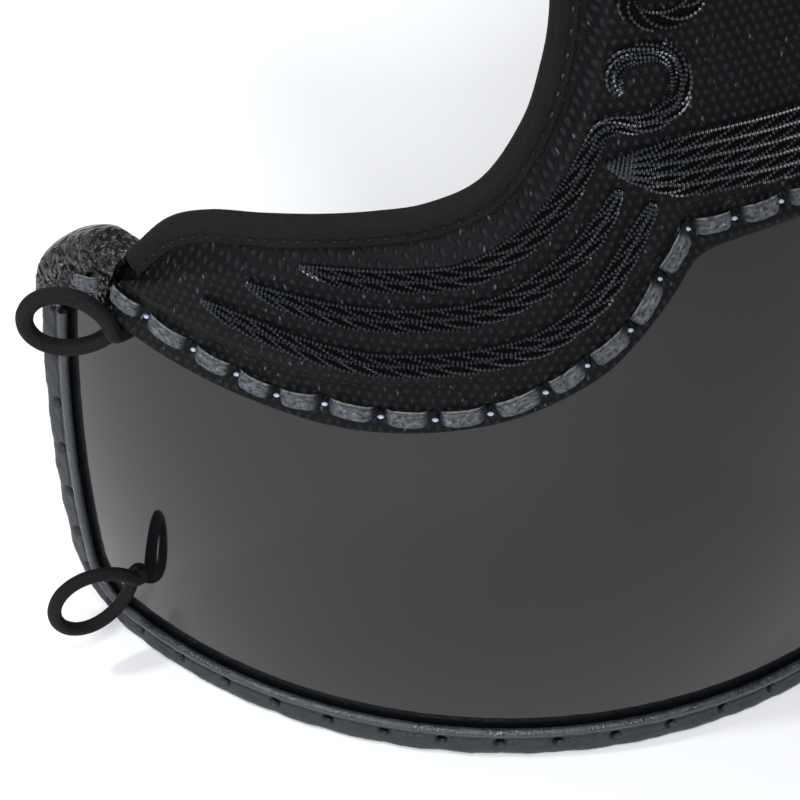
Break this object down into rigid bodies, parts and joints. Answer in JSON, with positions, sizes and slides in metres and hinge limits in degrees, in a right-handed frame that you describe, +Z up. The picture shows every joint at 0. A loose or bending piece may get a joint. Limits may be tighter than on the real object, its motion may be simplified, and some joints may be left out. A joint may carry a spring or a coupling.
{
  "type": "kendo chest protector",
  "caption": "Bulged resin torso guard on its rim, with a laced padded chest panel, cloud embroidery, leather bound edges and rolled leather loops.",
  "frame": {"origin": "centre of the bounding box on the floor that the rim stands on", "axes": "+Z up, the front of the torso faces -Y, +X is the viewer's right when facing the front"},
  "size_m": [0.4554, 0.2096, 0.4613],
  "materials": {
    "body_resin": "polished black moulded resin",
    "binding_leather": "smooth dark grey leather, folded and stitched",
    "panel_cloth": "black sashiko weave over felt padding",
    "edging_cloth": "warm black cotton edging, folded and stitched",
    "corner_grain_leather": "wrinkled glossy black leather",
    "lace_leather": "flat grey leather lace with cut edges",
    "embroidery_cord": "shiny black braided cord, couched",
    "loop_leather": "matt black rolled leather"
  },
  "bodies": {
    "root": {"body_shell": "body_resin", "edge_binding": "binding_leather", "edge_piping": "binding_leather", "chest_panel": "panel_cloth", "panel_edging": "edging_cloth", "corner_leather_right": "corner_grain_leather", "corner_leather_left": "corner_grain_leather", "chest_lace": "lace_leather", "cloud_finger_1_right": "embroidery_cord", "cloud_finger_1_left": "embroidery_cord", "cloud_finger_2_right": "embroidery_cord", "cloud_finger_2_left": "embroidery_cord", "cloud_finger_3_right": "embroidery_cord", "cloud_finger_3_left": "embroidery_cord", "cloud_band": "embroidery_cord", "cloud_scroll_right": "embroidery_cord", "cloud_scroll_left": "embroidery_cord", "side_loop_right": "loop_leather", "side_loop_left": "loop_leather", "waist_loop_right": "loop_leather", "waist_loop_left": "loop_leather", "chest_loop_right": "loop_leather", "chest_loop_left": "loop_leather"}
  },
  "joints": []
}
